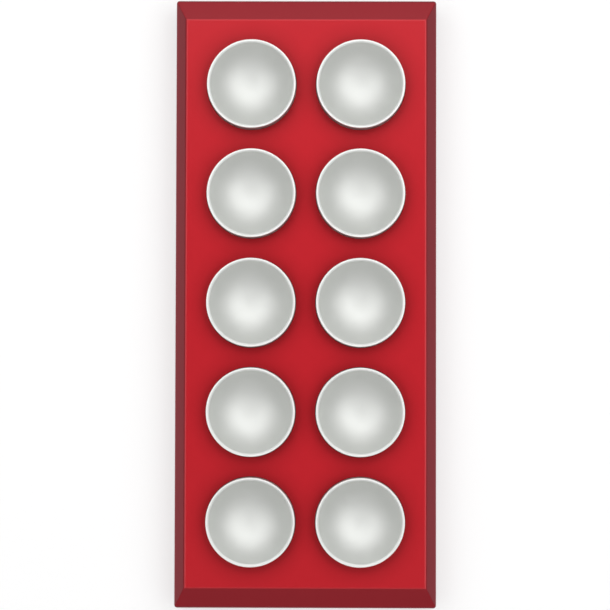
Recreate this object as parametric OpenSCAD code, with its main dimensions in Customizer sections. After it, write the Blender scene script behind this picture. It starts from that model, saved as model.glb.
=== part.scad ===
// Ravioli mould: a pressed sheet-metal cover holds ten round cups over a moulded base tray.
// The table is z = 0, the long side runs along Y, and the origin is under the middle of the mould.
// A sheet of dough laid over the cups is filled, covered and rolled, and the rims cut it.

/* [Cups] */
// Distance between the centres of neighbouring cups, across and along
cup_pitch = 55; // [53:0.5:62]
// Outside diameter of the upright collar of a cup
cup_d = 44.7; // [40:0.1:46.6]
// Height of the cutting rims above the red face
rim_rise = 6.5; // [3:0.5:9]
// Depth of the bowl below the top of the rim
bowl_depth = 13; // [9:0.5:16]
// Wall of a cup
cup_wall = 1.2; // [0.8:0.1:1.6]
// Width of the flat land on top of the rim, with its rounded outer edge
rim_land = 0.9; // [0.6:0.1:1.4]
// Radius of the rounded outer edge of the rim
rim_edge_r = 0.3; // [0.1:0.05:0.5]
// Width of the sloping band between the land and the bowl
rim_slope_w = 0.7; // [0.4:0.1:1.2]
// Drop of that band
rim_slope_drop = 0.5; // [0.3:0.1:1]
// How far the flange under the cover stands out of the collar
flange_w = 2; // [1.2:0.1:2.4]
// Thickness of the flange
flange_t = 1.5; // [1:0.1:2]

/* [Cover] */
// Height of the red face above the table
face_h = 23.5; // [21:0.5:32]
// Thickness of the sheet
sheet_t = 1.2; // [0.8:0.1:1.6]
// From the outermost collars to the edge of the flat face
edge_margin = 10.8; // [7:0.2:16]
// Width of the bevel along the two long sides, seen from above
side_bevel_w = 5.3; // [3.5:0.1:9]
// Width of the bevel along the two short ends, seen from above
end_bevel_w = 10.5; // [6:0.1:16]
// Drop of all four bevels
bevel_drop = 5.2; // [3:0.2:7]
// Outer radius of the bend between the face and a bevel
face_bend_r = 2; // [1.2:0.1:2.6]
// Outer radius of the bend between a bevel and the skirt
skirt_bend_r = 1.6; // [1.2:0.1:2.4]
// Outer radius of the four upright corners
corner_r = 1.5; // [0.8:0.1:3]
// Radial room between a collar and its hole in the cover
hole_room = 0.2; // [0.1:0.05:0.4]

/* [Base tray] */
// Thickness of the floor
floor_t = 2.4; // [2:0.1:3.4]
// Thickness of the walls, sockets and ribs
tray_wall = 2; // [1.4:0.1:2.6]
// Thickness of the lip that shows under the skirt
lip_t = 1.2; // [0.8:0.1:1.6]
// How far the lip stays behind the outside of the skirt
lip_setback = 0.5; // [0.2:0.1:1]
// Room between the skirt and the tray
tray_room = 0.3; // [0.2:0.1:0.6]
// Room between the ribs and the undersides of the bowls
bowl_room = 1.5; // [0.5:0.5:4]
// Outer radius of the corners of the lip
lip_corner_r = 1.5; // [0.8:0.1:3]
// Radius of the lower edge of the lip
lip_edge_r = 0.5; // [0.2:0.1:0.8]

/* [Feet and screws] */
// Diameter of a rubber foot
foot_d = 12; // [8:0.5:14]
// How far a foot stands below the tray
foot_proud = 1.2; // [0.8:0.1:2]
// Radius of the lower edge of a foot
foot_edge_r = 0.6; // [0.2:0.1:1]
// Depth of the recess that a foot is pressed into
foot_recess = 1; // [0.6:0.1:1.2]
// From the edges of the tray to the middle of a foot
foot_inset = 11.5; // [9:0.5:14]
// Diameter of the screw shanks
screw_d = 3; // [2.6:0.1:3.5]
// Diameter of the screw heads
screw_head_d = 5.6; // [5:0.1:6.2]
// Height of the screw heads
screw_head_h = 2; // [1.6:0.1:2.4]
// Depth of the wells that the heads sit in
screw_well = 4; // [3:0.5:6]
// Height of the threaded bushes on the underside of the cover
bush_h = 8; // [7:0.5:10]
// Wall of those bushes
bush_wall = 1.5; // [1.2:0.1:2]
// How far the screws reach into the bushes
screw_grip = 6; // [4:0.5:6.5]
// From the ends of the flat face to the outermost screws
end_screw_inset = 6; // [5:0.5:9]

/* [Hidden] */
$fn = 96;

// The cups stand in two columns of five.
columns = 2;
rows = 5;
SIDES = ["left", "right"];
ENDS = ["front", "back"];

// Amounts by which a cut runs past the solid that it cuts
past = 1;
// Radial clearance of a part that is pressed or screwed into its hole
snug = 0.05;
// Room round a screw head in its well
well_room = 0.3;
// Gap between the lower edge of the skirt and the lip
seam_gap = 0.3;
// Gap between the top of the tray's wall and the bend of the cover
wall_top_gap = 1;
// Room beyond the tip of a screw in its bush
tip_room = 0.5;
// Radial distance by which a socket stays inside the edge of the flange that it carries
socket_inset = 0.3;

// Cup radii, and heights measured from the top of the rim
collar_r = cup_d / 2;
flange_r = collar_r + flange_w;
mouth_r = collar_r - rim_land - rim_slope_w;
cap_depth = bowl_depth - rim_slope_drop;
bowl_r = (mouth_r ^ 2 + cap_depth ^ 2) / (2 * cap_depth);
bowl_centre_z = bowl_r - bowl_depth;
flange_top_z = -rim_rise - sheet_t;
flange_bottom_z = flange_top_z - flange_t;

// Heights above the table
rim_h = face_h + rim_rise;
tray_z = foot_proud;
lip_top_z = tray_z + lip_t;
skirt_z = lip_top_z + seam_gap;
bend_z = face_h - bevel_drop;
cover_under_z = face_h - sheet_t;
socket_top_z = rim_h + flange_bottom_z;
bush_z = cover_under_z - bush_h;
well_top_z = tray_z + screw_well;
wall_top_z = bend_z - sheet_t - wall_top_gap;
bowl_under_z = rim_h - bowl_depth - cup_wall;
rib_top_z = min(bowl_under_z - bowl_room, wall_top_z);

// Plan sizes
face_w = (columns - 1) * cup_pitch + cup_d + 2 * edge_margin;
face_l = (rows - 1) * cup_pitch + cup_d + 2 * edge_margin;
body_w = face_w + 2 * side_bevel_w;
body_l = face_l + 2 * end_bevel_w;
tray_w = body_w - 2 * (sheet_t + tray_room);
tray_l = body_l - 2 * (sheet_t + tray_room);
hole_r = collar_r + hole_room;
socket_r = flange_r - socket_inset;
bush_r = screw_d / 2 + bush_wall;
well_r = screw_head_d / 2 + well_room;
column_r = max(bush_r, well_r + tray_wall);
foot_x = tray_w / 2 - foot_inset;
foot_y = tray_l / 2 - foot_inset;

function column_x(c) = (c - (columns - 1) / 2) * cup_pitch;
function row_y(r) = (r - (rows - 1) / 2) * cup_pitch;

// The screws stand on the middle line: between the rows, and one near each end.
screw_ys = concat(
    [for (r = [0:rows - 2]) (row_y(r) + row_y(r + 1)) / 2],
    [-face_l / 2 + end_screw_inset, face_l / 2 - end_screw_inset]
);

function unit(v) = v / norm(v);

// Slope of a bevel of width w
function bevel_angle(w) = atan2(bevel_drop, w);

// A convex outline whose corners have the given radii, as a polygon and true circles.
module rounded_outline(points, radii) {
    n = len(points);
    arms = [for (i = [0:n - 1]) [
        unit(points[(i + n - 1) % n] - points[i]),
        unit(points[(i + 1) % n] - points[i])
    ]];
    half = [for (a = arms) acos(a[0] * a[1]) / 2];
    polygon([for (i = [0:n - 1]) each radii[i] > 0
        ? [for (arm = arms[i]) points[i] + arm * radii[i] / tan(half[i])]
        : [points[i]]]);
    for (i = [0:n - 1])
        if (radii[i] > 0)
            translate(points[i] + unit(arms[i][0] + arms[i][1]) * radii[i] / sin(half[i]))
                circle(r = radii[i]);
}

module rounded_rectangle(w, l, r) {
    rounded_outline([[-w / 2, -l / 2], [w / 2, -l / 2], [w / 2, l / 2], [-w / 2, l / 2]], [r, r, r, r]);
}

// Section across the cover, filled: skirt, bevels of width bevel_w and face, moved inwards by inset.
module bevelled_section(width, bevel_w, inset, bottom_z, face_bend, skirt_bend) {
    slope = bevel_angle(bevel_w);
    half = width / 2 - inset;
    face_half = width / 2 - bevel_w - inset * tan(slope / 2);
    knee_z = bend_z - inset * tan((90 - slope) / 2);
    rounded_outline(
        [[-half, bottom_z], [half, bottom_z], [half, knee_z],
         [face_half, face_h - inset], [-face_half, face_h - inset], [-half, knee_z]],
        [0, 0, skirt_bend, face_bend, face_bend, skirt_bend]
    );
}

// The cover as a full block. The two sections cross, which mitres the bevels at the corners.
module cover_block(inset, bottom_z, face_bend, skirt_bend, corner) {
    intersection() {
        rotate([90, 0, 0])
            linear_extrude(height = body_l + 2 * past, center = true)
                bevelled_section(body_w, side_bevel_w, inset, bottom_z, face_bend, skirt_bend);
        rotate([90, 0, 90])
            linear_extrude(height = body_w + 2 * past, center = true)
                bevelled_section(body_l, end_bevel_w, inset, bottom_z, face_bend, skirt_bend);
        translate([0, 0, bottom_z - past])
            linear_extrude(height = face_h - bottom_z + 2 * past)
                rounded_rectangle(body_w - 2 * inset, body_l - 2 * inset, corner);
    }
}

module top_cover() {
    color("firebrick")
        difference() {
            cover_block(0, skirt_z, face_bend_r, skirt_bend_r, corner_r);
            cover_block(sheet_t, skirt_z - past, max(face_bend_r - sheet_t, 0),
                max(skirt_bend_r - sheet_t, 0), max(corner_r - sheet_t, 0));
            for (c = [0:columns - 1])
                for (r = [0:rows - 1])
                    translate([column_x(c), row_y(r), cover_under_z - past])
                        cylinder(r = hole_r, h = sheet_t + 2 * past);
        }
}

// Threaded bushes, welded to the underside of the face. Their bores stop inside them.
module cover_bushes() {
    color("silver")
        for (y = screw_ys)
            translate([0, y, bush_z])
                difference() {
                    cylinder(r = bush_r, h = bush_h);
                    translate([0, 0, -past])
                        cylinder(r = screw_d / 2 + snug, h = screw_grip + tip_room + past);
                }
}

// Half section of a cup, with the top of the rim at height 0.
module cup_section() {
    intersection() {
        translate([0, -bowl_depth - cup_wall - past])
            square([flange_r + past, bowl_depth + cup_wall + past]);
        difference() {
            union() {
                translate([0, flange_bottom_z])
                    square([collar_r, -flange_bottom_z]);
                translate([0, flange_bottom_z])
                    square([flange_r, flange_t]);
                intersection() {
                    translate([0, bowl_centre_z])
                        circle(r = bowl_r + cup_wall);
                    translate([0, -bowl_depth - cup_wall - past])
                        square([collar_r, bowl_depth + cup_wall + past]);
                }
            }
            // Bowl
            translate([0, bowl_centre_z])
                circle(r = bowl_r);
            // Sloping band of the rim, carried on into the bowl
            polygon([
                [0, -rim_slope_drop * 2],
                [mouth_r - rim_slope_w, -rim_slope_drop * 2],
                [mouth_r + rim_slope_w, 0],
                [mouth_r + rim_slope_w * 2, rim_slope_drop],
                [0, rim_slope_drop]
            ]);
            // Hollow between the collar and the outside of the bowl, open below
            difference() {
                translate([0, flange_bottom_z - bowl_depth])
                    square([collar_r - cup_wall, bowl_depth - flange_bottom_z - rim_slope_drop]);
                translate([0, bowl_centre_z])
                    circle(r = bowl_r + cup_wall);
            }
            // Rounded outer edge
            difference() {
                translate([collar_r - rim_edge_r, -rim_edge_r])
                    square(rim_edge_r + past);
                translate([collar_r - rim_edge_r, -rim_edge_r])
                    circle(r = rim_edge_r);
            }
        }
    }
}

module cup(c, r) {
    color("gainsboro")
        translate([column_x(c), row_y(r), rim_h])
            rotate_extrude()
                cup_section();
}

// Tube under a cup, whose top carries the flange.
module socket() {
    difference() {
        cylinder(r = socket_r, h = socket_top_z - tray_z);
        translate([0, 0, floor_t])
            cylinder(r = socket_r - tray_wall, h = socket_top_z - tray_z);
    }
}

// Upright rib between two points in plan, from the floor to the ribs' common top
module rib(from, to) {
    run = to - from;
    translate([from[0], from[1], floor_t / 2])
        rotate([0, 0, atan2(run[1], run[0])])
            translate([0, -tray_wall / 2, 0])
                cube([norm(run), tray_wall, rib_top_z - tray_z - floor_t / 2]);
}

// Section of the lip, with its lower edges rounded
module lip_section(width) {
    rounded_outline(
        [[-width / 2, 0], [width / 2, 0], [width / 2, lip_t], [-width / 2, lip_t]],
        [lip_edge_r, lip_edge_r, 0, 0]
    );
}

// Plate whose edge shows as a thin dark line under the skirt
module lip() {
    width = body_w - 2 * lip_setback;
    length = body_l - 2 * lip_setback;
    intersection() {
        rotate([90, 0, 0])
            linear_extrude(height = length + 2 * past, center = true)
                lip_section(width);
        rotate([90, 0, 90])
            linear_extrude(height = width + 2 * past, center = true)
                lip_section(length);
        translate([0, 0, -past])
            linear_extrude(height = lip_t + past)
                rounded_rectangle(width, length, lip_corner_r);
    }
}

// Tray wall, floor and lip
module tray_shell() {
    lip();
    difference() {
        linear_extrude(height = wall_top_z - tray_z)
            rounded_rectangle(tray_w, tray_l, tray_wall / 2);
        translate([0, 0, floor_t])
            linear_extrude(height = wall_top_z)
                rounded_rectangle(tray_w - 2 * tray_wall, tray_l - 2 * tray_wall, tray_wall / 2);
    }
}

// A rib runs under each row and each column of bowls, and ribs tie each screw column to its neighbours.
module tray_ribs() {
    wall_x = tray_w / 2 - tray_wall / 2;
    wall_y = tray_l / 2 - tray_wall / 2;
    for (r = [0:rows - 1])
        rib([-wall_x, row_y(r)], [wall_x, row_y(r)]);
    for (c = [0:columns - 1])
        rib([column_x(c), -wall_y], [column_x(c), wall_y]);
    for (y = screw_ys)
        for (c = [0:columns - 1])
            for (r = [0:rows - 1]) {
                way = [column_x(c), row_y(r) - y];
                if (norm(way) < cup_pitch)
                    rib([0, y] + unit(way) * (column_r - tray_wall / 2),
                        [column_x(c), row_y(r)] - unit(way) * (socket_r - tray_wall / 2));
            }
}

module base_tray() {
    color([0.1, 0.1, 0.11])
        translate([0, 0, tray_z])
            difference() {
                union() {
                    tray_shell();
                    tray_ribs();
                    for (c = [0:columns - 1])
                        for (r = [0:rows - 1])
                            translate([column_x(c), row_y(r), 0])
                                socket();
                    for (y = screw_ys)
                        translate([0, y, 0])
                            cylinder(r = column_r, h = bush_z - tray_z);
                }
                for (y = screw_ys)
                    translate([0, y, -past]) {
                        cylinder(r = well_r, h = screw_well + past);
                        cylinder(r = screw_d / 2 + well_room, h = bush_z - tray_z + 2 * past);
                    }
                for (x = [-foot_x, foot_x])
                    for (y = [-foot_y, foot_y])
                        translate([x, y, -past])
                            cylinder(d = foot_d + 2 * snug, h = foot_recess + past);
            }
}

// Rubber pad with a rounded lower edge
module foot(x, y) {
    height = foot_proud + foot_recess;
    color("dimgray")
        translate([x, y, 0])
            rotate_extrude()
                rounded_outline(
                    [[0, 0], [foot_d / 2, 0], [foot_d / 2, height], [0, height]],
                    [0, foot_edge_r, 0, 0]
                );
}

// Pan-head screws, heads down in their wells
module base_screws() {
    color("silver")
        for (y = screw_ys)
            translate([0, y, 0]) {
                translate([0, 0, well_top_z - screw_head_h])
                    cylinder(d = screw_head_d, h = screw_head_h);
                translate([0, 0, well_top_z - screw_head_h / 2])
                    cylinder(d = screw_d, h = bush_z + screw_grip - well_top_z + screw_head_h / 2);
            }
}

top_cover();
cover_bushes();
base_tray();
base_screws();
for (c = [0:columns - 1])
    for (r = [0:rows - 1])
        cup(c, r);
for (e = [0:1])
    for (s = [0:1])
        foot((2 * s - 1) * foot_x, (2 * e - 1) * foot_y);
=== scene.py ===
"""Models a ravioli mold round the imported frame, with anodised cover and cups, base, feet and screws."""

import math

import bmesh
import bpy
from bpy.props import FloatProperty, FloatVectorProperty, IntProperty, PointerProperty
from bpy.types import Operator, Panel, PropertyGroup
from mathutils import Matrix, Vector


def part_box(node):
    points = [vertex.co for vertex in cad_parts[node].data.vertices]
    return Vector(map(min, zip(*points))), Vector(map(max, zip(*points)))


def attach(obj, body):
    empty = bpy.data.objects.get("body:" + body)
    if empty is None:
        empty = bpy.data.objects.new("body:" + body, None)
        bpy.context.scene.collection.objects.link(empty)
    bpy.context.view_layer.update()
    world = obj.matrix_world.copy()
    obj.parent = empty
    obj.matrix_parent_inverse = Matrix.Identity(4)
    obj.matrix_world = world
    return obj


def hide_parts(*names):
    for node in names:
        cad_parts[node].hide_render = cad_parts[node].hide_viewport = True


bl_info = {
    "name": "Ravioli mold",
    "version": (1, 0, 0),
    "blender": (4, 5, 0),
    "location": "View3D > Sidebar > Ravioli mold",
    "description": "Models a ravioli mold with round metal cups in a bevelled cover",
    "category": "Add Mesh",
}

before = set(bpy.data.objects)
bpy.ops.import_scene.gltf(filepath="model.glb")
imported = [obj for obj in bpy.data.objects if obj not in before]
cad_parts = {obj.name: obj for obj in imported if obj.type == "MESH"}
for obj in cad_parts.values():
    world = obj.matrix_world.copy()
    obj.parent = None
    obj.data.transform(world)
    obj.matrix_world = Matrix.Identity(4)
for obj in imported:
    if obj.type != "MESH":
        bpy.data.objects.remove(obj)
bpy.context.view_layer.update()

BODY = "root"
CUP_NODES = sorted(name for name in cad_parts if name.startswith("cup_"))
FOOT_NODES = sorted(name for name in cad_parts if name.startswith("foot_"))
COVER_LOW, COVER_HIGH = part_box("top_cover")
SCREWS_LOW, SCREWS_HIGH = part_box("base_screws")
CUP_LOW, CUP_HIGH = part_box(CUP_NODES[0])

# Points closer than the first are merged, and places that differ by less than the second count as the same.
MERGE_DISTANCE = 1e-6
NEAR = 1e-5

# A face looks in a direction where the cosine between that and its normal is above the first, and squarely
# in it above the second.
FACING = 0.9
SQUARE_ON = 0.99

# Edges that turn less than this are shaded smooth.
SMOOTH_ANGLE = math.radians(30)

# The name of the attribute that keeps the slant of each face, and the slants at which the painted shade on
# the bevels and on the upright walls comes in and is complete.
SLANT = "slant"
PAINTED_BEVEL_SHADE_SLANTS = (0.0, 0.17)
PAINTED_WALL_SHADE_SLANTS = (0.6, 0.95)

# The share of the sloping band's drop over which the painted highlight on the rim comes in.
RIM_FADE = 0.2

# How open a place is, by Cycles' ambient occlusion, where the painted shade beside the cups comes in and
# where it is complete.
PAINTED_CUP_SHADE_RANGE = (1.0, 0.65)
PAINTED_CUP_SHADE_SAMPLES = 16

# The value about which a noise swings.
NOISE_MIDDLE = 0.5

# In millimetres, as the lens is.
SENSOR_WIDTH = 36


def length(name, default, description):
    """A size in metres, shown with the scene's units."""
    return FloatProperty(name=name, default=default, description=description, unit="LENGTH", precision=5)


def rotation(name, degrees, description):
    """An angle that is written here in degrees."""
    return FloatProperty(name=name, default=math.radians(degrees), description=description, unit="ROTATION")


def number(name, default, description):
    """A plain number, such as a strength or a share."""
    return FloatProperty(name=name, default=default, description=description)


def count(name, default, least, description):
    """A whole number, such as the facets round a bend."""
    return IntProperty(name=name, default=default, min=least, description=description)


def colour(name, default, description):
    """A linear colour that a user may change."""
    return FloatVectorProperty(
        name=name, default=default, description=description, subtype="COLOR", size=3, min=0, soft_max=1
    )


# Sizes and colours


class CoverSizes(PropertyGroup):
    side_bevel: length("Side bevel", 0.0053, "Width of the bevels along the long sides, seen from above")
    end_bevel: length("End bevel", 0.0105, "Width of the bevels along the short ends, seen from above")
    bevel_drop: length("Bevel drop", 0.0052, "Drop of all four bevels")
    sheet: length("Sheet", 0.0012, "Thickness of the sheet")
    face_bend: length("Face bend", 0.0020, "Outer radius of the bend between face and bevel")
    skirt_bend: length("Skirt bend", 0.0016, "Outer radius of the bend between bevel and skirt")
    corner_round: length("Corner", 0.0015, "Outer radius of the upright corners")
    mitre_round: length("Mitre", 0.0006, "Radius of the mitred edges where two bevels meet")
    hole_room: length("Hole room", 0.0002, "Room between a cup's collar and its hole")
    hole_round: length("Hole edge", 0.0003, "Radius of the edge of each hole")
    bend_steps: count("Bend steps", 5, 2, "Facets round each bend")
    hole_sides: count("Hole sides", 128, 24, "Facets round a hole")
    hole_steps: count("Hole edge steps", 3, 1, "Facets across the rounded edge of a hole")


class CupSizes(PropertyGroup):
    flange_width: length("Flange", 0.0020, "How far the flange stands out of the collar")
    flange_thickness: length("Flange thickness", 0.0015, "Thickness of the flange")
    wall: length("Wall", 0.0012, "Wall of a cup")
    land: length("Land", 0.0009, "Width of the flat land on the rim")
    slope_width: length("Slope width", 0.0007, "Width of the sloping band inside the land")
    slope_drop: length("Slope drop", 0.0005, "Drop of the sloping band")
    rim_round: length("Rim edge", 0.0003, "Radius of the outer edge of the rim")
    crease_round: length("Crease", 0.00015, "Radius of the small edges beside the sloping band")
    rim_steps: count("Rim steps", 5, 1, "Facets across the outer edge of the rim")
    crease_steps: count("Crease steps", 3, 1, "Facets across each small edge beside the sloping band")
    bowl_steps: count("Bowl steps", 40, 8, "Rings between crease and middle")
    sides: count("Sides", 128, 24, "Facets round a cup")


class BaseSizes(PropertyGroup):
    foot_round: length("Foot edge", 0.0006, "Radius of the lower edge of a foot")
    foot_dish: length("Foot dish", 0.0004, "Depth of the dish in the underside of a foot")
    foot_rim: length("Foot rim", 0.0018, "Width of the ring round the dish of a foot")
    head_diameter: length("Screw head", 0.0056, "Diameter of a screw head")
    head_height: length("Head height", 0.0020, "Height of a screw head")
    head_round: length("Head edge", 0.0009, "Radius of the edge of a screw head")
    shank_diameter: length("Shank", 0.0030, "Diameter of a screw shank")
    recess_depth: length("Cross depth", 0.0013, "Depth of the cross in a screw head")
    recess_width: length("Cross width", 0.0008, "Width of each slot of the cross")
    recess_span: length("Cross span", 0.0032, "Span of the cross from tip to tip")
    recess_taper: number("Cross taper", 0.55, "Size of the inner end of the cross, against its full size")
    foot_sides: count("Foot sides", 64, 24, "Facets round a foot")
    foot_steps: count("Foot edge steps", 4, 1, "Facets across the lower edge of a foot")
    screw_sides: count("Screw sides", 48, 24, "Facets round a screw")
    head_steps: count("Head edge steps", 5, 1, "Facets across the edge of a screw head")


class Finishes(PropertyGroup):
    red: colour("Red", (0.575, 0.0095, 0.020), "Anodised cover")
    # Painted shade: darkens the red on the slanted bevels and the skirt.
    painted_bevel_shade_tint: colour("Slanted tint", (0.515, 0.46, 0.8), "Tint of the red on the slanted bevels")
    # Painted shade: darkens the red close beside the cups, where they shelter it.
    painted_cup_shade_tint: colour("Sheltered tint", (0.76, 0.5, 0.6), "Tint of the red close beside the cups")
    painted_cup_shade_reach: length("Shelter reach", 0.012, "How far that tint reaches from the cups")
    silver: colour("Silver", (0.775, 0.785, 0.765), "Anodised cups")
    # Painted highlight: brightens the silver on the rims.
    painted_rim_highlight_tint: colour("Rim tint", (1.24, 1.23, 1.24), "Tint of the silver on the bright rims")
    # Painted shade: darkens the silver on the upright outer walls.
    painted_wall_shade_tint: colour("Wall tint", (0.8, 0.8, 0.8), "Tint of the silver on the dull outer walls")
    plastic: colour("Plastic", (0.018, 0.018, 0.020), "Moulded base")
    rubber: colour("Rubber", (0.030, 0.030, 0.031), "Feet")
    steel: colour("Steel", (0.60, 0.60, 0.62), "Screws and bushes")
    floor: colour("Floor", (0.5, 0.5, 0.5), "Floor under the mold")


class StageSizes(PropertyGroup):
    camera_right: length("Camera right", 0.00963, "How far the camera stands to the right of the middle")
    camera_back: length("Camera back", 0.04307, "How far the camera stands towards the lower end")
    camera_height: length("Camera height", 1.200, "Height of the camera above the table")
    camera_tilt: rotation("Camera tilt", 2.044, "Turn of the camera about X")
    camera_pan: rotation("Camera pan", 0.481, "Turn of the camera about Y")
    camera_roll: rotation("Camera roll", 0.142, "Turn of the camera about Z")
    lens: number("Lens", 138.02, "Focal length in millimetres, on a sensor 36 mm wide")
    floor_size: length("Floor", 30.0, "Width of the round floor")
    wall_height: length("Wall", 2.15, "Height of the wall round the floor, which fills a level view")
    floor_sides: count("Floor sides", 64, 12, "Facets round the floor")
    lamps: count("Lamps", 8, 3, "Softboxes in the ring above the mold")
    lamp_distance: length("Lamp distance", 1.5, "Distance of every softbox from the middle of the table")
    lamp_tilt: rotation("Lamp tilt", 38, "How far the ring of softboxes stands off the upright")
    lamp_width: length("Lamp width", 0.72, "Width of each softbox of the ring")
    lamp_length: length("Lamp length", 1.05, "Length of each softbox of the ring")
    lamp_level: number("Lamp level", 1.30, "Brightness of the ring on average")
    lamp_bias: number("Lamp bias", 0.47, "How much brighter the ring is at its main side")
    lamp_sides: number("Lamp sides", 0.22, "How much brighter the ring is at the left and right")
    main_side: rotation("Main side", 18, "Where the ring is brightest, from the far end to the right")
    strip_width: length("Strip width", 1.3, "Width of the two low strips")
    strip_height: length("Strip height", 0.20, "Height of the two low strips")
    far_tilt: rotation("Far tilt", 62, "How far the strip beyond the far end stands off the upright")
    far_level: number("Far level", 1.2, "Brightness of the strip beyond the far end")
    near_tilt: rotation("Near tilt", 70, "How far the strip before the near end stands off the upright")
    near_level: number("Near level", 0.8, "Brightness of the strip before the near end")
    world: number("World", 0.10, "Strength of the even light all round")
    floor_lift: number("Floor lift", 0.56, "Light added to the floor as it is seen")


# Steps shared by the pieces


def deselect_all():
    if bpy.context.mode != "OBJECT":
        bpy.ops.object.mode_set(mode="OBJECT")
    bpy.ops.object.select_all(action="DESELECT")


def name_active(name):
    """Names the object that was just added, and puts its place into its mesh."""
    piece = bpy.context.object
    piece.name = name
    piece.data.name = name
    bpy.ops.object.transform_apply(location=True, rotation=True, scale=True)
    return piece


def choose(piece):
    """Selects one piece and makes it active."""
    deselect_all()
    piece.select_set(True)
    bpy.context.view_layer.objects.active = piece


def edit(piece):
    """Starts editing one piece, with nothing of it selected."""
    choose(piece)
    bpy.ops.object.mode_set(mode="EDIT")
    bpy.ops.mesh.select_all(action="DESELECT")


def pick(piece, kind, test):
    """Selects the faces, edges or verts of the piece in edit mode for which test is true."""
    bpy.context.tool_settings.mesh_select_mode = (kind == "verts", kind == "edges", kind == "faces")
    mesh = bmesh.from_edit_mesh(piece.data)
    for group in (mesh.verts, mesh.edges, mesh.faces):
        for element in group:
            element.select = False
    for element in getattr(mesh, kind):
        if test(element):
            element.select_set(True)
    mesh.select_flush_mode()
    bmesh.update_edit_mesh(piece.data)


def finish_edit():
    bpy.ops.object.mode_set(mode="OBJECT")


def merge_and_face_outwards():
    """Merges doubles of the mesh in edit mode and turns its faces outwards."""
    bpy.ops.mesh.select_all(action="SELECT")
    bpy.ops.mesh.remove_doubles(threshold=MERGE_DISTANCE)
    bpy.ops.mesh.normals_make_consistent(inside=False)


def apply_modifier(piece, kind, **settings):
    """Adds one modifier with the settings and applies it."""
    choose(piece)
    modifier = piece.modifiers.new(kind.title(), kind)
    for name, value in settings.items():
        setattr(modifier, name, value)
    bpy.ops.object.modifier_apply(modifier=modifier.name)


def shade(piece):
    """Shades a piece smooth except at its sharp edges, with flat faces kept flat."""
    choose(piece)
    bpy.ops.object.shade_smooth_by_angle(angle=SMOOTH_ANGLE)
    apply_modifier(piece, "WEIGHTED_NORMAL", keep_sharp=True, weight=100)


def note_slant(piece):
    """Keeps in the mesh how far each face slants: 0 lies flat and looks up, and 1 stands upright."""
    slant = piece.data.attributes.new(SLANT, "FLOAT", "FACE")
    for face in piece.data.polygons:
        slant.data[face.index].value = 1 - face.normal.z


def join(pieces, name):
    """Joins meshes into the first of them."""
    choose(pieces[0])
    for piece in pieces:
        piece.select_set(True)
    bpy.ops.object.join()
    pieces[0].name = name
    pieces[0].data.name = name
    return pieces[0]


def copy_at(piece, offset, name):
    """A new object with a mesh of its own, moved by offset inside the mesh."""
    mesh = piece.data.copy()
    mesh.name = name
    mesh.transform(Matrix.Translation(offset))
    twin = bpy.data.objects.new(name, mesh)
    bpy.context.collection.objects.link(twin)
    return twin


def dress(piece, material, slot, *nodes):
    """Gives a finished piece its material, attaches it to the body and hides the CAD nodes it stands for.
    """
    piece.data.materials.clear()
    piece.data.materials.append(material)
    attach(piece, BODY)
    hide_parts(*nodes)


def round_corner(before, corner, after, radius, steps):
    """Points (radius, height) of an arc that rounds one corner of a profile."""
    corner = Vector(corner)
    towards = (Vector(before) - corner).normalized()
    onwards = (Vector(after) - corner).normalized()
    half = towards.angle(onwards) / 2
    centre = corner + (towards + onwards).normalized() * radius / math.sin(half)
    reach = radius / math.tan(half)
    start = corner + towards * reach - centre
    end = corner + onwards * reach - centre
    turned = start.angle_signed(end)
    points = []
    for step in range(steps + 1):
        point = start.copy()
        point.rotate(Matrix.Rotation(-turned * step / steps, 2))
        points.append(tuple(centre + point))
    return points


def arc(centre_z, radius, start, end, steps):
    """Points (radius, height) along an arc about the axis; angles are counted from straight down."""
    points = []
    for step in range(steps + 1):
        angle = start + (end - start) * step / steps
        points.append((radius * math.sin(angle), centre_z - radius * math.cos(angle)))
    return points


def turn(name, profile, sides):
    """Turns a profile of (radius, height) points from axis to axis into a closed solid, as on a lathe.

    It starts from a plane that is merged to one point, which is drawn on along the profile.
    """
    deselect_all()
    bpy.ops.mesh.primitive_plane_add(location=(0, 0, 0))
    piece = name_active(name)
    edit(piece)
    bpy.ops.mesh.select_mode(type="VERT")
    bpy.ops.mesh.select_all(action="SELECT")
    bpy.ops.mesh.merge(type="CENTER")
    radius, height = profile[0]
    bpy.ops.transform.translate(value=(radius, 0, height))
    for next_radius, next_height in profile[1:]:
        step = (next_radius - radius, 0, next_height - height)
        bpy.ops.mesh.extrude_vertices_move(TRANSFORM_OT_translate={"value": step})
        radius, height = next_radius, next_height
    bpy.ops.mesh.select_all(action="SELECT")
    bpy.ops.mesh.spin(steps=sides, angle=math.tau, center=(0, 0, 0), axis=(0, 0, 1))
    merge_and_face_outwards()
    finish_edit()
    return piece


def drum(name, radius, low_z, high_z, x, y, sides):
    """An upright cylinder between two heights."""
    deselect_all()
    middle, depth = (x, y, (low_z + high_z) / 2), high_z - low_z
    bpy.ops.mesh.primitive_cylinder_add(vertices=sides, radius=radius, depth=depth, location=middle)
    return name_active(name)


def cut(piece, tool):
    """Cuts a tool out of a piece and removes it."""
    apply_modifier(piece, "BOOLEAN", operation="DIFFERENCE", solver="EXACT", object=tool)
    bpy.data.objects.remove(tool)


def middle_of(node):
    """The middle of a CAD node in plan."""
    low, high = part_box(node)
    return (low.x + high.x) / 2, (low.y + high.y) / 2


def screw_places(head_diameter):
    """Where the screws stand on the middle line, from the solids of their node."""
    ys = sorted(vertex.co.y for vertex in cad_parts["base_screws"].data.vertices)
    groups = [[ys[0]]]
    for y in ys:
        if y - groups[-1][-1] > head_diameter:
            groups.append([])
        groups[-1].append(y)
    return [(group[0] + group[-1]) / 2 for group in groups]


# Shader groups


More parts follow.
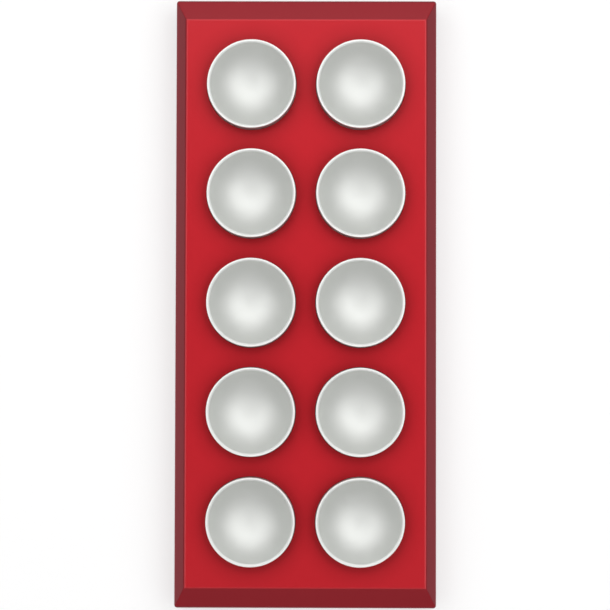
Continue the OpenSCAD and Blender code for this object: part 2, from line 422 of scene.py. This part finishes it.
def new_group(name, inputs, outputs):
    """An empty shader node group with named sockets, and its input and output nodes."""
    group = bpy.data.node_groups.new(name, "ShaderNodeTree")
    for socket_name, kind, default in inputs:
        socket = group.interface.new_socket(name=socket_name, in_out="INPUT", socket_type=kind)
        if default is not None:
            socket.default_value = default
    for socket_name, kind in outputs:
        group.interface.new_socket(name=socket_name, in_out="OUTPUT", socket_type=kind)
    return group, group.nodes.new("NodeGroupInput"), group.nodes.new("NodeGroupOutput")


def shifted_value(nodes, links, pattern, amount, value):
    """A value moved up and down by amount as the pattern swings about its middle."""
    centred = nodes.new("ShaderNodeMath")
    centred.operation = "SUBTRACT"
    centred.inputs[1].default_value = NOISE_MIDDLE
    links.new(pattern, centred.inputs[0])
    shifted = nodes.new("ShaderNodeMath")
    shifted.operation = "MULTIPLY_ADD"
    links.new(centred.outputs[0], shifted.inputs[0])
    links.new(amount, shifted.inputs[1])
    links.new(value, shifted.inputs[2])
    return shifted.outputs[0]


def grain_group():
    """Fine even grain, as on etched metal or moulded plastic: a height and a slight change of roughness."""
    if "Fine grain" in bpy.data.node_groups:
        return bpy.data.node_groups["Fine grain"]
    group, start, end = new_group(
        "Fine grain",
        [("Vector", "NodeSocketVector", None), ("Scale", "NodeSocketFloat", 2500.0),
         ("Roughness", "NodeSocketFloat", 0.4), ("Variation", "NodeSocketFloat", 0.05)],
        [("Height", "NodeSocketFloat"), ("Roughness", "NodeSocketFloat")],
    )
    nodes, links = group.nodes, group.links
    grain = nodes.new("ShaderNodeTexNoise")
    grain.inputs["Detail"].default_value = 3.0
    links.new(start.outputs["Vector"], grain.inputs["Vector"])
    links.new(start.outputs["Scale"], grain.inputs["Scale"])
    links.new(grain.outputs["Fac"], end.inputs["Height"])
    rough = shifted_value(nodes, links, grain.outputs["Fac"],
                          start.outputs["Variation"], start.outputs["Roughness"])
    links.new(rough, end.inputs["Roughness"])
    return group


def handling_group():
    """Broad soft patches, as from handling and washing, that shift a value up and down."""
    if "Handling" in bpy.data.node_groups:
        return bpy.data.node_groups["Handling"]
    group, start, end = new_group(
        "Handling",
        [("Vector", "NodeSocketVector", None), ("Scale", "NodeSocketFloat", 25.0),
         ("Value", "NodeSocketFloat", 0.4), ("Amount", "NodeSocketFloat", 0.05)],
        [("Value", "NodeSocketFloat"), ("Mask", "NodeSocketFloat")],
    )
    nodes, links = group.nodes, group.links
    patches = nodes.new("ShaderNodeTexNoise")
    patches.inputs["Detail"].default_value = 4.0
    patches.inputs["Roughness"].default_value = 0.6
    patches.inputs["Distortion"].default_value = 0.6
    links.new(start.outputs["Vector"], patches.inputs["Vector"])
    links.new(start.outputs["Scale"], patches.inputs["Scale"])
    value = shifted_value(nodes, links, patches.outputs["Fac"],
                          start.outputs["Amount"], start.outputs["Value"])
    links.new(value, end.inputs["Value"])
    links.new(patches.outputs["Fac"], end.inputs["Mask"])
    return group


# Materials


def use_group(nodes, links, group, place, **values):
    """Places a shader group, fed with the object's coordinates and the given numbers."""
    node = nodes.new("ShaderNodeGroup")
    node.node_tree = group
    links.new(place, node.inputs["Vector"])
    for name, value in values.items():
        node.inputs[name.title()].default_value = value
    return node


def textured(name, base_colour, roughness, grain_scale, grain_height, patch_scale, patch_amount,
             shade_change):
    """A material whose roughness, height and shade change finely over the surface, and its shader."""
    material = bpy.data.materials.new(name)
    material.use_nodes = True
    nodes, links = material.node_tree.nodes, material.node_tree.links
    shader = nodes["Principled BSDF"]
    place = nodes.new("ShaderNodeTexCoord").outputs["Object"]
    patches = use_group(nodes, links, handling_group(), place, scale=patch_scale, value=roughness,
                        amount=patch_amount)
    grain = use_group(nodes, links, grain_group(), place, scale=grain_scale, variation=patch_amount)
    links.new(patches.outputs["Value"], grain.inputs["Roughness"])
    links.new(grain.outputs["Roughness"], shader.inputs["Roughness"])
    shades = nodes.new("ShaderNodeMix")
    shades.data_type = "RGBA"
    shades.inputs["A"].default_value = (*[part * (1 - shade_change) for part in base_colour], 1)
    shades.inputs["B"].default_value = (*[min(1, part * (1 + shade_change)) for part in base_colour], 1)
    links.new(patches.outputs["Mask"], shades.inputs["Factor"])
    links.new(shades.outputs["Result"], shader.inputs["Base Color"])
    bump = nodes.new("ShaderNodeBump")
    bump.inputs["Distance"].default_value = grain_height
    links.new(grain.outputs["Height"], bump.inputs["Height"])
    links.new(bump.outputs["Normal"], shader.inputs["Normal"])
    return material, shader


def slant_mask(material):
    """The slant that note_slant keeps in the mesh: 0 on faces that look up and 1 on upright ones."""
    slant = material.node_tree.nodes.new("ShaderNodeAttribute")
    slant.attribute_name = SLANT
    return slant.outputs["Fac"]


def tint_where(material, shader, mask, start, end, tint, way="SMOOTHSTEP"):
    """Multiplies the base colour by a tint that comes in as the mask goes from start to end."""
    nodes, links = material.node_tree.nodes, material.node_tree.links
    change = nodes.new("ShaderNodeMapRange")
    change.interpolation_type = way
    links.new(mask, change.inputs["Value"])
    change.inputs["From Min"].default_value = start
    change.inputs["From Max"].default_value = end
    tinted = nodes.new("ShaderNodeMix")
    tinted.data_type = "RGBA"
    tinted.blend_type = "MULTIPLY"
    links.new(change.outputs["Result"], tinted.inputs["Factor"])
    links.new(shader.inputs["Base Color"].links[0].from_socket, tinted.inputs["A"])
    tinted.inputs["B"].default_value = (*tint, 1)
    links.new(tinted.outputs["Result"], shader.inputs["Base Color"])


def red_aluminium():
    """Dyed and sealed metal, with painted shade: its colour is darker on the bevels and close beside the
    cups.
    """
    finishes = bpy.context.scene.ravioli_finishes
    material, shader = textured("Red anodised aluminium", finishes.red,
                                roughness=0.56, grain_scale=3500, grain_height=0.000012,
                                patch_scale=18, patch_amount=0.05, shade_change=0.03)
    shader.inputs["Metallic"].default_value = 1.0
    shader.inputs["Coat Weight"].default_value = 0.8
    shader.inputs["Coat Roughness"].default_value = 0.28
    # Painted shade on the bevels and skirt, by their slant.
    tint_where(material, shader, slant_mask(material), *PAINTED_BEVEL_SHADE_SLANTS, finishes.painted_bevel_shade_tint)
    # Painted shade beside the cups, from Cycles' ambient occlusion.
    cup_occlusion_shade = material.node_tree.nodes.new("ShaderNodeAmbientOcclusion")
    cup_occlusion_shade.samples = PAINTED_CUP_SHADE_SAMPLES
    cup_occlusion_shade.inputs["Distance"].default_value = finishes.painted_cup_shade_reach
    tint_where(material, shader, cup_occlusion_shade.outputs["AO"], *PAINTED_CUP_SHADE_RANGE, finishes.painted_cup_shade_tint,
               way="LINEAR")
    return material


def silver_aluminium():
    """Satin metal, with a painted highlight that brightens the rims and painted shade that darkens the
    upright outer walls.
    """
    finishes = bpy.context.scene.ravioli_finishes
    material, shader = textured("Silver anodised aluminium", finishes.silver,
                                roughness=0.58, grain_scale=3500, grain_height=0.000008,
                                patch_scale=60, patch_amount=0.04, shade_change=0.02)
    shader.inputs["Metallic"].default_value = 1.0
    nodes, links = material.node_tree.nodes, material.node_tree.links
    parts = nodes.new("ShaderNodeSeparateXYZ")
    links.new(nodes.new("ShaderNodeTexCoord").outputs["Object"], parts.inputs["Vector"])
    slope_drop = bpy.context.scene.ravioli_cup.slope_drop
    bright_from = CUP_HIGH.z - slope_drop
    # Painted highlight: the silver is brightened from the upper part of the sloping band up over the rim.
    tint_where(material, shader, parts.outputs["Z"], bright_from, bright_from + RIM_FADE * slope_drop,
               finishes.painted_rim_highlight_tint)
    # Painted shade on the upright outer walls, by their slant.
    tint_where(material, shader, slant_mask(material), *PAINTED_WALL_SHADE_SLANTS, finishes.painted_wall_shade_tint)
    return material


def black_plastic():
    material, shader = textured("Black moulded plastic", bpy.context.scene.ravioli_finishes.plastic,
                                roughness=0.55, grain_scale=1600, grain_height=0.00006,
                                patch_scale=22, patch_amount=0.08, shade_change=0.12)
    shader.inputs["Specular IOR Level"].default_value = 0.45
    return material


def foot_rubber():
    material, shader = textured("Grey-black rubber", bpy.context.scene.ravioli_finishes.rubber,
                                roughness=0.78, grain_scale=1100, grain_height=0.00005,
                                patch_scale=90, patch_amount=0.10, shade_change=0.18)
    shader.inputs["Specular IOR Level"].default_value = 0.3
    return material


def plated_steel():
    material, shader = textured("Zinc-plated steel", bpy.context.scene.ravioli_finishes.steel,
                                roughness=0.33, grain_scale=4000, grain_height=0.00001,
                                patch_scale=300, patch_amount=0.12, shade_change=0.08)
    shader.inputs["Metallic"].default_value = 1.0
    return material


# Pieces


class RAVIOLI_OT_cover(Operator):
    """Model the red pressed cover with its bevels, bends and cup holes"""

    bl_idname = "ravioli.cover"
    bl_label = "Red cover"

    def execute(self, context):
        sizes = context.scene.ravioli_cover
        shell = self.folded_shell(sizes)
        apply_modifier(shell, "SOLIDIFY", thickness=sizes.sheet, offset=-1, use_even_offset=True,
                       use_quality_normals=True)
        self.round_bends(shell, sizes)
        self.cut_holes(shell, sizes, context.scene.ravioli_cup.flange_width)
        shade(shell)
        note_slant(shell)
        dress(shell, red_aluminium(), "red_aluminium", "top_cover")
        return {"FINISHED"}

    def folded_shell(self, sizes):
        """The outside of the cover with sharp bends: a box whose top is drawn in, open below."""
        knee_z = COVER_HIGH.z - sizes.bevel_drop
        deselect_all()
        bpy.ops.mesh.primitive_cube_add(size=1, location=(0, 0, (COVER_LOW.z + knee_z) / 2))
        bpy.ops.transform.resize(value=(2 * COVER_HIGH.x, 2 * COVER_HIGH.y, knee_z - COVER_LOW.z))
        shell = name_active("cover_shell")
        edit(shell)
        pick(shell, "faces", lambda face: face.normal.z > FACING)
        bpy.ops.mesh.extrude_region_move(TRANSFORM_OT_translate={"value": (0, 0, sizes.bevel_drop)})
        bpy.ops.transform.resize(
            value=(1 - sizes.side_bevel / COVER_HIGH.x, 1 - sizes.end_bevel / COVER_HIGH.y, 1),
            center_override=(0, 0, COVER_HIGH.z),
        )
        pick(shell, "faces", lambda face: face.normal.z < -FACING)
        bpy.ops.mesh.delete(type="ONLY_FACE")
        finish_edit()
        return shell

    def round_bends(self, shell, sizes):
        """Rounds every outer bend with its own radius, by weights on the edges."""
        knee_z = COVER_HIGH.z - sizes.bevel_drop
        side_slope = math.atan2(sizes.bevel_drop, sizes.side_bevel)
        end_slope = math.atan2(sizes.bevel_drop, sizes.end_bevel)
        mitre_turn = math.acos(math.cos(side_slope) * math.cos(end_slope))
        widest = max(sizes.face_bend, sizes.skirt_bend, sizes.corner_round, sizes.mitre_round)
        weights = shell.data.attributes.new("bevel_weight_edge", "FLOAT", "EDGE")

        def outside(point):
            """Whether a corner of the shell lies on its outside and not on its inside."""
            if point.z > COVER_HIGH.z - NEAR:
                return True
            return abs(point.x) > COVER_HIGH.x - NEAR and abs(point.y) > COVER_HIGH.y - NEAR

        for edge in shell.data.edges:
            a, b = (shell.data.vertices[index].co for index in edge.vertices)
            if not (outside(a) and outside(b)):
                continue
            slope = side_slope if abs(a.x - b.x) < NEAR else end_slope
            low, high = min(a.z, b.z), max(a.z, b.z)
            offset = 0
            if low > COVER_HIGH.z - NEAR:
                offset = sizes.face_bend * math.tan(slope / 2)
            elif high > COVER_HIGH.z - NEAR:
                offset = sizes.mitre_round * math.tan(mitre_turn / 2)
            elif low > knee_z - NEAR:
                offset = sizes.skirt_bend * math.tan((math.pi / 2 - slope) / 2)
            elif high > knee_z - NEAR:
                offset = sizes.corner_round
            weights.data[edge.index].value = offset / widest
        apply_modifier(shell, "BEVEL", limit_method="WEIGHT", width=widest, segments=sizes.bend_steps,
                       profile=0.5, miter_outer="MITER_SHARP", use_clamp_overlap=False)

    def cut_holes(self, shell, sizes, flange_width):
        """Cuts the cups' holes, and rounds their upper edges."""
        radius = (CUP_HIGH.x - CUP_LOW.x) / 2 - flange_width + sizes.hole_room
        centres = [middle_of(node) for node in CUP_NODES]
        low_z, high_z = COVER_HIGH.z - 3 * sizes.sheet, COVER_HIGH.z + sizes.sheet  # well past both sides
        tools = [drum("hole_cutter", radius, low_z, high_z, x, y, sizes.hole_sides) for x, y in centres]
        cut(shell, join(tools, "hole_cutters"))
        edit(shell)

        def on_hole_edge(edge):
            for vertex in edge.verts:
                if abs(vertex.co.z - COVER_HIGH.z) > NEAR:
                    return False
                distance = min(math.hypot(vertex.co.x - x, vertex.co.y - y) for x, y in centres)
                if abs(distance - radius) > NEAR:
                    return False
            return edge.calc_length() < radius

        pick(shell, "edges", on_hole_edge)
        bpy.ops.mesh.bevel(offset=sizes.hole_round, segments=sizes.hole_steps, affect="EDGES")
        finish_edit()


class RAVIOLI_OT_cups(Operator):
    """Turn one cup with its collar, cutting rim, bowl and flange, and set a copy in each hole"""

    bl_idname = "ravioli.cups"
    bl_label = "Cups"

    def execute(self, context):
        sizes = context.scene.ravioli_cup
        model = turn("cup_model", self.section(sizes, context.scene.ravioli_cover.sheet), sizes.sides)
        shade(model)
        note_slant(model)
        metal = silver_aluminium()
        for node in CUP_NODES:
            cup = copy_at(model, (*middle_of(node), 0), node + "_turned")
            dress(cup, metal, "silver_aluminium", node)
        bpy.data.objects.remove(model)
        return {"FINISHED"}

    def section(self, sizes, sheet):
        """Half of the cup's section, from the underside of the bowl round the rim to its inside."""
        flange_r = (CUP_HIGH.x - CUP_LOW.x) / 2
        collar_r = flange_r - sizes.flange_width
        hollow_r = collar_r - sizes.wall
        rim_z = CUP_HIGH.z
        bottom_z = CUP_LOW.z + sizes.wall
        flange_top_z = COVER_HIGH.z - sheet
        flange_z = flange_top_z - sizes.flange_thickness
        land_end = (collar_r - sizes.land, rim_z)
        mouth = (land_end[0] - sizes.slope_width, rim_z - sizes.slope_drop)
        cap = mouth[1] - bottom_z
        bowl_r = (mouth[0] ** 2 + cap ** 2) / (2 * cap)
        middle_z = bottom_z + bowl_r
        outer_r = bowl_r + sizes.wall
        bowl = arc(middle_z, bowl_r, math.asin(mouth[0] / bowl_r), 0, sizes.bowl_steps)
        points = arc(middle_z, outer_r, 0, math.asin(hollow_r / outer_r), sizes.bowl_steps // 2)
        points += [(hollow_r, flange_z), (flange_r, flange_z)]
        points += [(flange_r, flange_top_z), (collar_r, flange_top_z)]
        points += round_corner(points[-1], (collar_r, rim_z), land_end, sizes.rim_round, sizes.rim_steps)
        points += round_corner((collar_r, rim_z), land_end, mouth, sizes.crease_round, sizes.crease_steps)
        points += round_corner(land_end, mouth, bowl[1], sizes.crease_round, sizes.crease_steps)
        return points + bowl[1:]


class RAVIOLI_OT_base(Operator):
    """Finish the moulded base tray, its rubber feet, its screws and the bushes they turn into"""

    bl_idname = "ravioli.base"
    bl_label = "Base, feet and screws"

    def execute(self, context):
        sizes = context.scene.ravioli_base
        self.tray()
        self.feet(sizes)
        steel = plated_steel()
        self.screws(sizes, steel)
        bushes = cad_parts["cover_bushes"]
        bushes.data.materials.clear()
        bushes.data.materials.append(steel)
        return {"FINISHED"}

    def tray(self):
        """The tray is a merged copy of its CAD node, shaded smooth round its curves."""
        tray = copy_at(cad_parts["base_tray"], (0, 0, 0), "base_tray_moulded")
        edit(tray)
        bpy.ops.mesh.select_all(action="SELECT")
        bpy.ops.mesh.remove_doubles(threshold=MERGE_DISTANCE)
        finish_edit()
        shade(tray)
        dress(tray, black_plastic(), "black_plastic", "base_tray")

    def feet(self, sizes):
        rubber = foot_rubber()
        for node in FOOT_NODES:
            low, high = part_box(node)
            radius = (high.x - low.x) / 2
            foot = drum(node + "_pad", radius, low.z, high.z, *middle_of(node), sizes.foot_sides)
            edit(foot)
            pick(foot, "edges", lambda edge: max(vertex.co.z for vertex in edge.verts) < low.z + NEAR)
            bpy.ops.mesh.bevel(offset=sizes.foot_round, segments=sizes.foot_steps, affect="EDGES")
            pick(foot, "faces", lambda face: face.normal.z < -SQUARE_ON)
            bpy.ops.mesh.inset(thickness=sizes.foot_rim)
            bpy.ops.mesh.inset(thickness=sizes.foot_dish)
            bpy.ops.transform.translate(value=(0, 0, sizes.foot_dish))
            finish_edit()
            shade(foot)
            dress(foot, rubber, "rubber", node)

    def screws(self, sizes, steel):
        """One pan-head screw is turned, its cross is cut, and a copy goes into each well."""
        head_r, shank_r = sizes.head_diameter / 2, sizes.shank_diameter / 2
        low_z, tip_z = SCREWS_LOW.z, SCREWS_HIGH.z
        seat_z = low_z + sizes.head_height
        profile = [(0, low_z)]
        profile += round_corner(profile[0], (head_r, low_z), (head_r, seat_z), sizes.head_round,
                                sizes.head_steps)
        profile += [(head_r, seat_z), (shank_r, seat_z), (shank_r, tip_z), (0, tip_z)]
        model = turn("screw_model", profile, sizes.screw_sides)
        cut(model, self.cross(sizes))
        shade(model)
        copies = [copy_at(model, (0, y, 0), "screw") for y in screw_places(sizes.head_diameter)]
        bpy.data.objects.remove(model)
        dress(join(copies, "base_screws_turned"), steel, "steel", "base_screws")

    def cross(self, sizes):
        """The tool that cuts a cross recess: a block with four arms, drawn in towards its end."""
        width, arm = sizes.recess_width, (sizes.recess_span - sizes.recess_width) / 2
        taper = sizes.recess_taper
        past = sizes.recess_depth / 2
        middle_z = SCREWS_LOW.z + (sizes.recess_depth - past) / 2
        deselect_all()
        bpy.ops.mesh.primitive_cube_add(size=1, location=(0, 0, middle_z))
        bpy.ops.transform.resize(value=(width, width, sizes.recess_depth + past))
        tool = name_active("cross_cutter")
        edit(tool)
        for direction in ((1, 0, 0), (-1, 0, 0), (0, 1, 0), (0, -1, 0)):
            way = Vector(direction)
            across = Vector((way.y, way.x, 0))
            pick(tool, "faces", lambda face: face.normal.dot(way) > FACING
                 and abs(face.calc_center_median().dot(across)) < NEAR)
            bpy.ops.mesh.extrude_region_move(TRANSFORM_OT_translate={"value": way * arm})
        pick(tool, "faces", lambda face: face.normal.z > FACING)
        bpy.ops.transform.resize(value=(taper, taper, 1), center_override=(0, 0, SCREWS_LOW.z))
        finish_edit()
        return tool


class RAVIOLI_OT_stage(Operator):
    """Set the floor, the lamps, the world and the camera"""

    bl_idname = "ravioli.stage"
    bl_label = "Stage"

    def execute(self, context):
        stage = context.scene.ravioli_stage
        self.floor(stage, context.scene.ravioli_finishes.floor)
        self.lamp_ring(stage)
        strip = (stage.strip_width, stage.strip_height)
        self.softbox("strip_far", stage.lamp_distance, stage.far_tilt, 0, strip, stage.far_level)
        self.softbox("strip_near", stage.lamp_distance, stage.near_tilt, math.pi, strip, stage.near_level)
        world = bpy.data.worlds.new("Even light")
        world.use_nodes = True
        world.node_tree.nodes["Background"].inputs["Color"].default_value = (1, 1, 1, 1)
        world.node_tree.nodes["Background"].inputs["Strength"].default_value = stage.world
        context.scene.world = world
        self.camera(context, stage)
        context.scene.view_settings.view_transform = "Standard"
        return {"FINISHED"}

    def floor(self, stage, floor_colour):
        """A pale floor with a far wall, lifted to white where it is seen, that keeps the mold's shadow."""
        deselect_all()
        bpy.ops.mesh.primitive_circle_add(vertices=stage.floor_sides, radius=stage.floor_size / 2,
                                          fill_type="NGON", location=(0, 0, 0))
        floor = name_active("floor")
        edit(floor)
        pick(floor, "edges", lambda edge: True)
        bpy.ops.mesh.extrude_edges_move(TRANSFORM_OT_translate={"value": (0, 0, stage.wall_height)})
        finish_edit()
        material = bpy.data.materials.new("Pale floor")
        material.use_nodes = True
        nodes, links = material.node_tree.nodes, material.node_tree.links
        shader = nodes["Principled BSDF"]
        shader.inputs["Base Color"].default_value = (*floor_colour, 1)
        shader.inputs["Roughness"].default_value = 0.9
        shader.inputs["Specular IOR Level"].default_value = 0.1
        shader.inputs["Emission Color"].default_value = (1, 1, 1, 1)
        path = nodes.new("ShaderNodeLightPath")
        seen = path.outputs["Is Camera Ray"]
        for ray in ("Is Glossy Ray", "Is Transmission Ray"):
            either = nodes.new("ShaderNodeMath")
            either.operation = "MAXIMUM"
            links.new(seen, either.inputs[0])
            links.new(path.outputs[ray], either.inputs[1])
            seen = either.outputs[0]
        lift = nodes.new("ShaderNodeMath")
        lift.operation = "MULTIPLY"
        lift.inputs[1].default_value = stage.floor_lift
        links.new(seen, lift.inputs[0])
        links.new(lift.outputs[0], shader.inputs["Emission Strength"])
        floor.data.materials.append(material)

    def lamp_ring(self, stage):
        """Like softboxes all round, brighter at the left and right and towards the main side."""
        for index in range(stage.lamps):
            azimuth = math.tau * index / stage.lamps
            level = stage.lamp_level + stage.lamp_bias * math.cos(azimuth - stage.main_side)
            level -= stage.lamp_sides * math.cos(2 * azimuth)
            self.softbox(f"softbox_{index + 1}", stage.lamp_distance, stage.lamp_tilt, azimuth,
                         (stage.lamp_width, stage.lamp_length), level)

    def softbox(self, name, distance, tilt, azimuth, size, level):
        """A soft lamp that faces the mold, tilted off the upright and turned from the far end to the right.

        Its power is its area times its level times pi, so the level is how bright it looks.
        """
        aside = math.sin(tilt)
        way = Vector((aside * math.sin(azimuth), aside * math.cos(azimuth), math.cos(tilt)))
        deselect_all()
        bpy.ops.object.light_add(type="AREA", location=way * distance,
                                 rotation=way.to_track_quat("Z", "Y").to_euler())
        lamp = bpy.context.object
        lamp.name = name
        lamp.data.shape = "RECTANGLE"
        lamp.data.size, lamp.data.size_y = size
        lamp.data.energy = math.pi * size[0] * size[1] * level

    def camera(self, context, stage):
        deselect_all()
        bpy.ops.object.camera_add(
            location=(stage.camera_right, -stage.camera_back, stage.camera_height),
            rotation=(stage.camera_tilt, stage.camera_pan, stage.camera_roll),
        )
        camera = bpy.context.object
        camera.name = "camera"
        camera.data.sensor_width = SENSOR_WIDTH
        camera.data.lens = stage.lens
        camera.data.clip_end = 2 * stage.floor_size
        context.scene.camera = camera


# Sidebar, registration and the run as a script

SETTINGS = {
    "ravioli_cover": (CoverSizes, RAVIOLI_OT_cover),
    "ravioli_cup": (CupSizes, RAVIOLI_OT_cups),
    "ravioli_base": (BaseSizes, RAVIOLI_OT_base),
    "ravioli_finishes": (Finishes, None),
    "ravioli_stage": (StageSizes, RAVIOLI_OT_stage),
}


class RAVIOLI_PT_mold(Panel):
    """Sizes and colours of the ravioli mold, with a button for each group of pieces"""

    bl_idname = "RAVIOLI_PT_mold"
    bl_label = "Ravioli mold"
    bl_space_type = "VIEW_3D"
    bl_region_type = "UI"
    bl_category = "Ravioli mold"

    def draw(self, context):
        for setting, (_, operator) in SETTINGS.items():
            box = self.layout.box()
            group = getattr(context.scene, setting)
            for name in group.__annotations__:
                box.prop(group, name)
            if operator:
                box.operator(operator.bl_idname)


def classes():
    """All classes of the add-on, the property groups first."""
    found = [group for group, _ in SETTINGS.values()]
    found += [operator for _, operator in SETTINGS.values() if operator]
    return found + [RAVIOLI_PT_mold]


def register():
    for item in classes():
        bpy.utils.register_class(item)
    for setting, (group, _) in SETTINGS.items():
        setattr(bpy.types.Scene, setting, PointerProperty(type=group))


def unregister():
    for setting in SETTINGS:
        delattr(bpy.types.Scene, setting)
    for item in reversed(classes()):
        bpy.utils.unregister_class(item)


def main():
    register()
    bpy.ops.ravioli.cover()
    bpy.ops.ravioli.cups()
    bpy.ops.ravioli.base()
    bpy.ops.ravioli.stage()
    deselect_all()


if __name__ == "__main__":
    main()
